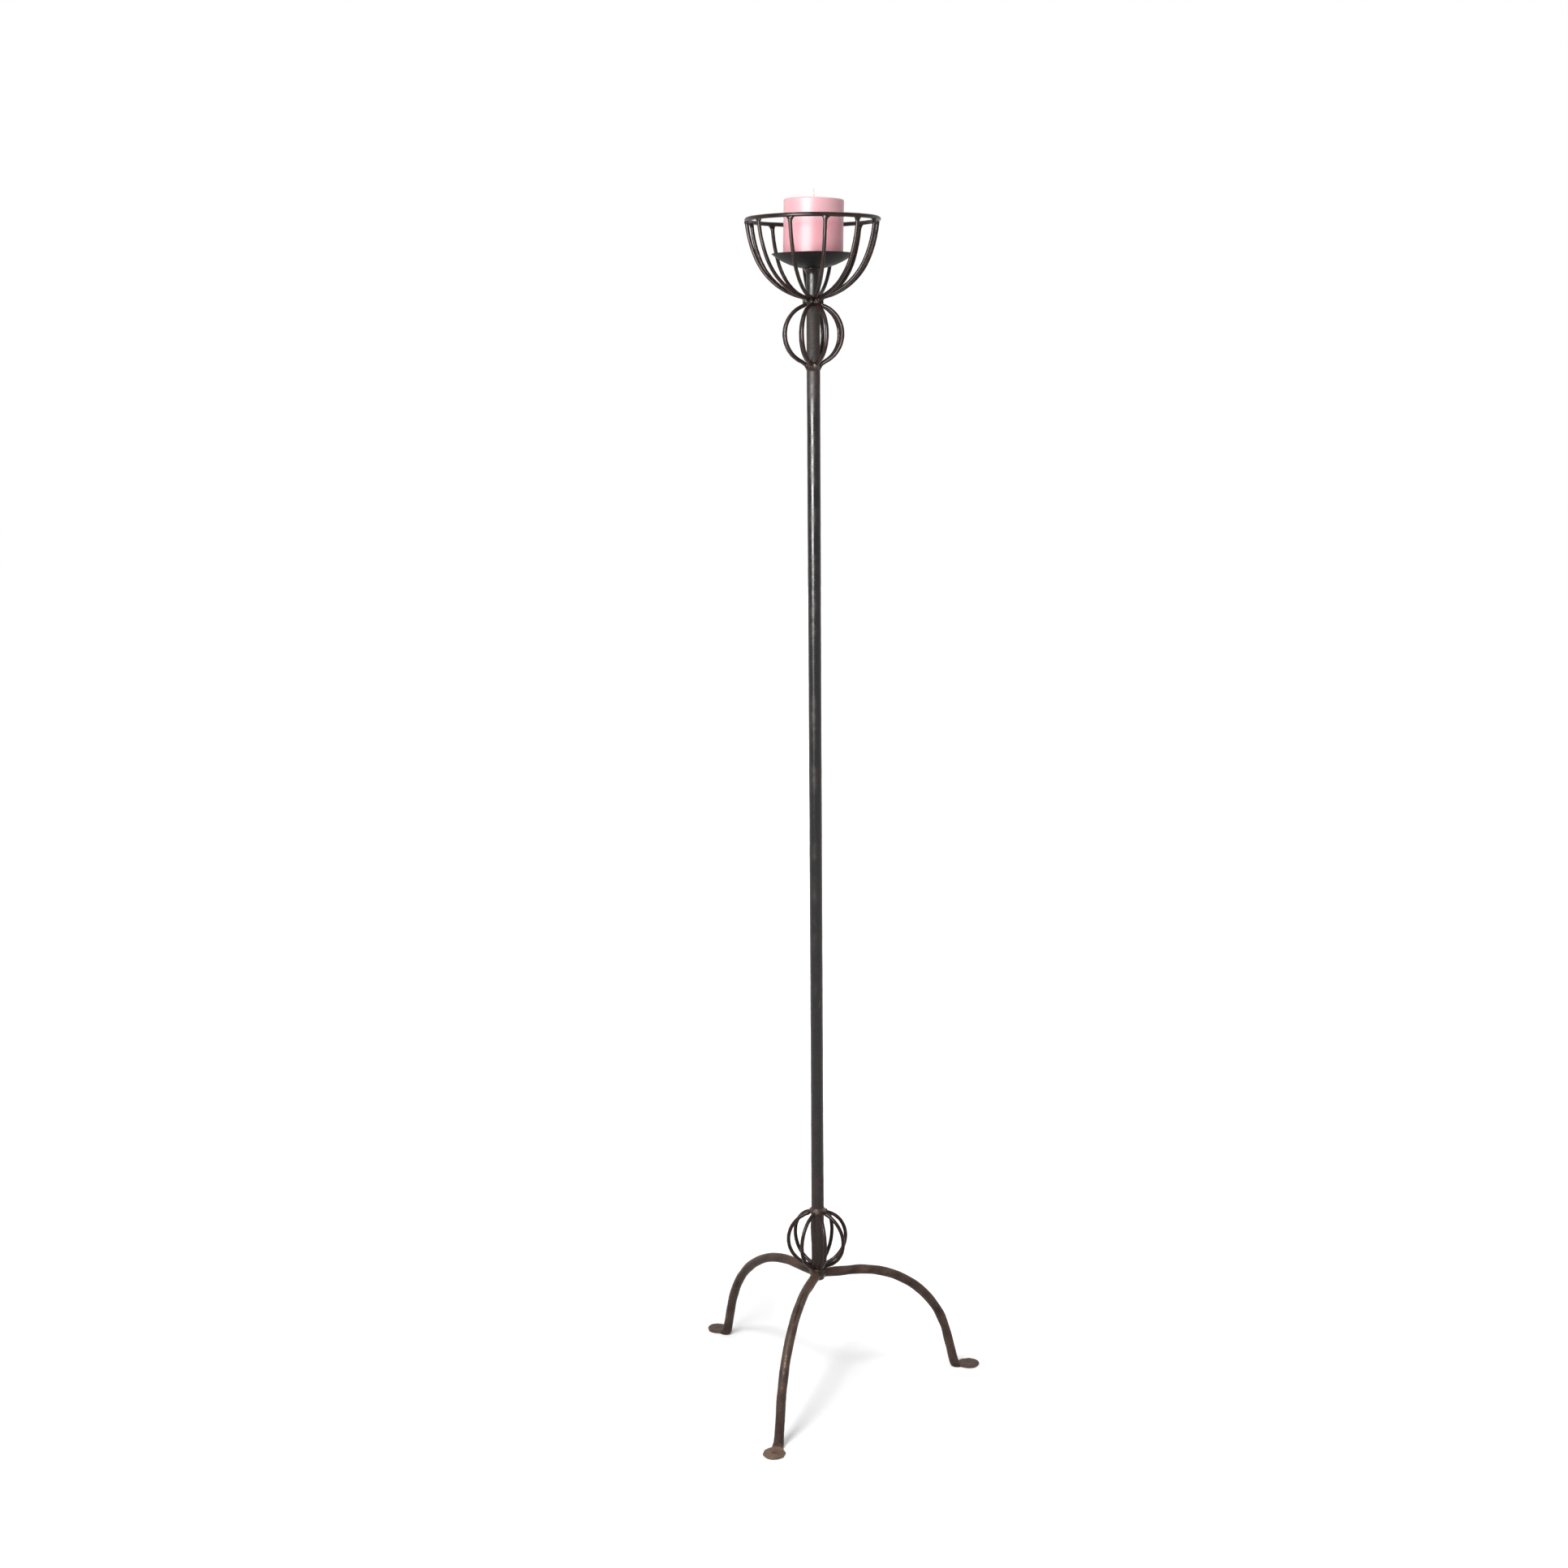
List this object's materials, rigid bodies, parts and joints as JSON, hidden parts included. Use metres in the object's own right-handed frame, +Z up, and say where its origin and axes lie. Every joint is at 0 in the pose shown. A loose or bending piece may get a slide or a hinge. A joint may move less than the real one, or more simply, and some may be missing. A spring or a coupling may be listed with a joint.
{
  "type": "candle stand",
  "caption": "Tall wrought-iron tripod floor stand with an open ribbed basket and drip dish holding one pillar candle.",
  "frame": {"origin": "on the floor, under the centre line of the column", "axes": "+Z up along the column, front leg towards -Y"},
  "size_m": [0.4072, 0.36, 1.6085],
  "materials": {
    "column_iron": "satin dark iron",
    "leg_iron": "forged, matt, browned with light rust",
    "rod_iron": "satin dark iron",
    "weld_metal": "rough weld, satin",
    "dish_steel": "matt black",
    "candle_wax": "smooth wax, pink",
    "wick_cotton": "waxed cotton"
  },
  "bodies": {
    "stand": {"column_tube": "column_iron", "leg_front": "leg_iron", "leg_right": "leg_iron", "leg_left": "leg_iron", "hub_weld": "weld_metal", "lower_ball_weld": "weld_metal", "lower_loop_1": "rod_iron", "lower_loop_2": "rod_iron", "lower_loop_3": "rod_iron", "lower_loop_4": "rod_iron", "lower_loop_5": "rod_iron", "lower_loop_6": "rod_iron", "lower_loop_7": "rod_iron", "lower_loop_8": "rod_iron", "upper_ball_weld": "weld_metal", "upper_loop_1": "rod_iron", "upper_loop_2": "rod_iron", "upper_loop_3": "rod_iron", "upper_loop_4": "rod_iron", "upper_loop_5": "rod_iron", "upper_loop_6": "rod_iron", "upper_loop_7": "rod_iron", "upper_loop_8": "rod_iron", "neck_weld": "weld_metal", "basket_rib_1": "rod_iron", "basket_rib_2": "rod_iron", "basket_rib_3": "rod_iron", "basket_rib_4": "rod_iron", "basket_rib_5": "rod_iron", "basket_rib_6": "rod_iron", "basket_rib_7": "rod_iron", "basket_rib_8": "rod_iron", "basket_rib_9": "rod_iron", "basket_rib_10": "rod_iron", "basket_rib_11": "rod_iron", "basket_rib_12": "rod_iron", "rim_ring": "rod_iron", "rim_welds": "weld_metal", "dish_weld": "weld_metal", "drip_dish": "dish_steel", "pricket_spike": "rod_iron"},
    "candle": {"candle": "candle_wax", "candle_wick": "wick_cotton"}
  },
  "joints": [
    {"name": "candle_lift", "type": "slide", "parent": "stand", "child": "candle", "axis": [0, 0, 1], "range_m": [0, 0.08]}
  ]
}
